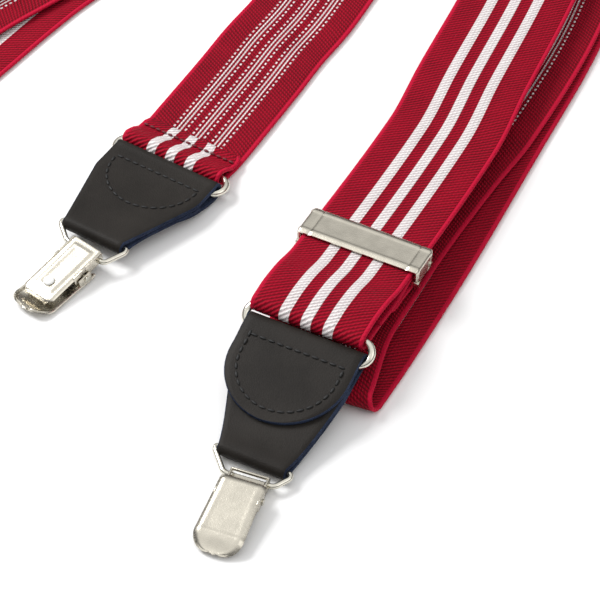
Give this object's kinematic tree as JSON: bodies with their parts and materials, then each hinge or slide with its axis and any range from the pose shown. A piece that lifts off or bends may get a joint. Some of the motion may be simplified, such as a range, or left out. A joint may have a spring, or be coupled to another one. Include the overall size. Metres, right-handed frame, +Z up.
{
  "type": "suspenders",
  "caption": "Elastic webbing suspenders crossed on a leather back patch, with slide adjusters, rings, leather tabs and hinged metal clips.",
  "frame": {"origin": "centre of the back patch's underside, on the plane that the suspenders lie on", "axes": "+Z up out of that plane; +Y away from the front clips; +X to the right seen from above"},
  "size_m": [0.4524, 0.4382, 0.0173],
  "materials": {
    "webbing": "crimson elastic webbing, twill woven, with three narrow white stripes on its front",
    "leather": "smooth charcoal leather with raw edges",
    "dark_thread": "black sewing thread",
    "red_thread": "dark red sewing thread",
    "nickel_wire": "bright nickel plated round wire",
    "nickel_plate": "nickel plated pressed steel, softly polished",
    "pad_plastic": "white moulded plastic",
    "spring_steel": "bare spring steel"
  },
  "bodies": {
    "root": {"strap_1": "webbing", "strap_2": "webbing", "back_patch_under": "leather", "back_patch_top": "leather", "back_patch_stitching": "dark_thread", "webbing_seam_2": "red_thread", "webbing_seam_4": "red_thread"},
    "adjuster_1": {"adjuster_plate_1": "nickel_plate", "adjuster_pin_1": "nickel_plate", "adjuster_bar_1": "nickel_plate", "strap_tail_1": "webbing", "webbing_seam_1": "red_thread"},
    "lever_1": {"adjuster_lever_1": "nickel_plate"},
    "ring_1": {"ring_1": "nickel_wire"},
    "tab_1": {"leather_tab_1": "leather", "tab_stitching_1": "dark_thread"},
    "loop_1": {"wire_loop_1": "nickel_wire"},
    "clip_1": {"clip_back_1": "nickel_plate", "clip_pin_1": "nickel_plate", "clip_pad_1": "pad_plastic", "clip_spring_1": "spring_steel"},
    "jaw_1": {"clip_front_1": "nickel_plate"},
    "ring_2": {"ring_2": "nickel_wire"},
    "tab_2": {"leather_tab_2": "leather", "tab_stitching_2": "dark_thread"},
    "loop_2": {"wire_loop_2": "nickel_wire"},
    "clip_2": {"clip_back_2": "nickel_plate", "clip_pin_2": "nickel_plate", "clip_pad_2": "pad_plastic", "clip_spring_2": "spring_steel"},
    "jaw_2": {"clip_front_2": "nickel_plate"},
    "adjuster_3": {"adjuster_plate_3": "nickel_plate", "adjuster_pin_3": "nickel_plate", "adjuster_bar_3": "nickel_plate", "strap_tail_3": "webbing", "webbing_seam_3": "red_thread"},
    "lever_3": {"adjuster_lever_3": "nickel_plate"},
    "ring_3": {"ring_3": "nickel_wire"},
    "tab_3": {"leather_tab_3": "leather", "tab_stitching_3": "dark_thread"},
    "loop_3": {"wire_loop_3": "nickel_wire"},
    "clip_3": {"clip_back_3": "nickel_plate", "clip_pin_3": "nickel_plate", "clip_pad_3": "pad_plastic", "clip_spring_3": "spring_steel"},
    "jaw_3": {"clip_front_3": "nickel_plate"},
    "ring_4": {"ring_4": "nickel_wire"},
    "tab_4": {"leather_tab_4": "leather", "tab_stitching_4": "dark_thread"},
    "loop_4": {"wire_loop_4": "nickel_wire"},
    "clip_4": {"clip_back_4": "nickel_plate", "clip_pin_4": "nickel_plate", "clip_pad_4": "pad_plastic", "clip_spring_4": "spring_steel"},
    "jaw_4": {"clip_front_4": "nickel_plate"}
  },
  "joints": [
    {"name": "adjuster_1_slide", "type": "slide", "parent": "root", "child": "adjuster_1", "axis": [0.4536, 0.8902, -0.0437], "range_m": [0, 0.035]},
    {"name": "lever_1_hinge", "type": "hinge", "parent": "adjuster_1", "child": "lever_1", "pos_m": [-0.0909, -0.26076, 0.01006], "axis": [0.891, -0.454, 0], "range_deg": [0, 40]},
    {"name": "ring_1_swing", "type": "hinge", "parent": "root", "child": "ring_1", "pos_m": [-0.10837, -0.29504, 0.014], "axis": [-0.891, 0.454, 0], "range_deg": [0, 45]},
    {"name": "tab_1_swing", "type": "hinge", "parent": "ring_1", "child": "tab_1", "pos_m": [-0.1112, -0.3006, 0.0104], "axis": [0.891, -0.454, 0], "range_deg": [-35, 0]},
    {"name": "loop_1_swing", "type": "hinge", "parent": "tab_1", "child": "loop_1", "pos_m": [-0.12357, -0.33544, 0.0025], "axis": [-0.891, 0.454, 0], "range_deg": [-15, 45]},
    {"name": "clip_1_swing", "type": "hinge", "parent": "loop_1", "child": "clip_1", "pos_m": [-0.12476, -0.34224, 0.0023], "axis": [0.9336, -0.3584, 0], "range_deg": [-45, 35]},
    {"name": "jaw_1_lever", "type": "hinge", "parent": "clip_1", "child": "jaw_1", "pos_m": [-0.12709, -0.3483, 0.0032], "axis": [-0.9336, 0.3584, 0], "range_deg": [0, 28], "stiffness_Nm_per_rad": 0.03, "springref_deg": -8.59},
    {"name": "ring_2_swing", "type": "hinge", "parent": "root", "child": "ring_2", "pos_m": [-0.14883, -0.21823, 0.0034], "axis": [-0.8434, 0.5373, 0], "range_deg": [-5, 45]},
    {"name": "tab_2_swing", "type": "hinge", "parent": "ring_2", "child": "tab_2", "pos_m": [-0.1527, -0.2243, 0.0034], "axis": [0.8434, -0.5373, 0], "range_deg": [-35, 30]},
    {"name": "loop_2_swing", "type": "hinge", "parent": "tab_2", "child": "loop_2", "pos_m": [-0.17068, -0.25252, 0.0049], "axis": [-0.8434, 0.5373, 0], "range_deg": [-15, 45]},
    {"name": "clip_2_swing", "type": "hinge", "parent": "loop_2", "child": "clip_2", "pos_m": [-0.17324, -0.25907, 0.00452], "axis": [0.766, -0.6428, 0], "range_deg": [-45, 35]},
    {"name": "jaw_2_lever", "type": "hinge", "parent": "clip_2", "child": "jaw_2", "pos_m": [-0.17729, -0.26389, 0.00269], "axis": [0.766, -0.6428, 0], "range_deg": [0, 28], "stiffness_Nm_per_rad": 0.03, "springref_deg": -8.59},
    {"name": "adjuster_3_slide", "type": "slide", "parent": "root", "child": "adjuster_3", "axis": [0.6422, 0.7653, -0.0437], "range_m": [0, 0.035]},
    {"name": "lever_3_hinge", "type": "hinge", "parent": "adjuster_3", "child": "lever_3", "pos_m": [-0.29326, -0.20775, 0.01006], "axis": [0.766, -0.6428, 0], "range_deg": [0, 40]},
    {"name": "ring_3_swing", "type": "hinge", "parent": "root", "child": "ring_3", "pos_m": [-0.31799, -0.23722, 0.014], "axis": [-0.766, 0.6428, 0], "range_deg": [-5, 45]},
    {"name": "tab_3_swing", "type": "hinge", "parent": "ring_3", "child": "tab_3", "pos_m": [-0.322, -0.242, 0.0104], "axis": [0.766, -0.6428, 0], "range_deg": [-35, 30]},
    {"name": "loop_3_swing", "type": "hinge", "parent": "tab_3", "child": "loop_3", "pos_m": [-0.34648, -0.26931, 0.0025], "axis": [-0.766, 0.6428, 0], "range_deg": [-15, 45]},
    {"name": "clip_3_swing", "type": "hinge", "parent": "loop_3", "child": "clip_3", "pos_m": [-0.35092, -0.2746, 0.0023], "axis": [0.809, -0.5878, 0], "range_deg": [-45, 35]},
    {"name": "jaw_3_lever", "type": "hinge", "parent": "clip_3", "child": "jaw_3", "pos_m": [-0.35474, -0.27986, 0.0032], "axis": [-0.809, 0.5878, 0], "range_deg": [0, 28], "stiffness_Nm_per_rad": 0.03, "springref_deg": -8.59},
    {"name": "ring_4_swing", "type": "hinge", "parent": "root", "child": "ring_4", "pos_m": [0.01405, -0.25491, 0.0034], "axis": [-0.9848, 0.1736, 0], "range_deg": [-5, 45]},
    {"name": "tab_4_swing", "type": "hinge", "parent": "ring_4", "child": "tab_4", "pos_m": [0.0128, -0.262, 0.0034], "axis": [0.9848, -0.1736, 0], "range_deg": [-35, 30]},
    {"name": "loop_4_swing", "type": "hinge", "parent": "tab_4", "child": "loop_4", "pos_m": [0.00788, -0.29511, 0.0049], "axis": [-0.9848, 0.1736, 0], "range_deg": [-15, 45]},
    {"name": "clip_4_swing", "type": "hinge", "parent": "loop_4", "child": "clip_4", "pos_m": [0.00691, -0.30208, 0.00452], "axis": [0.9976, -0.0698, 0], "range_deg": [-45, 35]},
    {"name": "jaw_4_lever", "type": "hinge", "parent": "clip_4", "child": "jaw_4", "pos_m": [0.00647, -0.30836, 0.00269], "axis": [0.9976, -0.0698, 0], "range_deg": [0, 28], "stiffness_Nm_per_rad": 0.03, "springref_deg": -8.59}
  ]
}
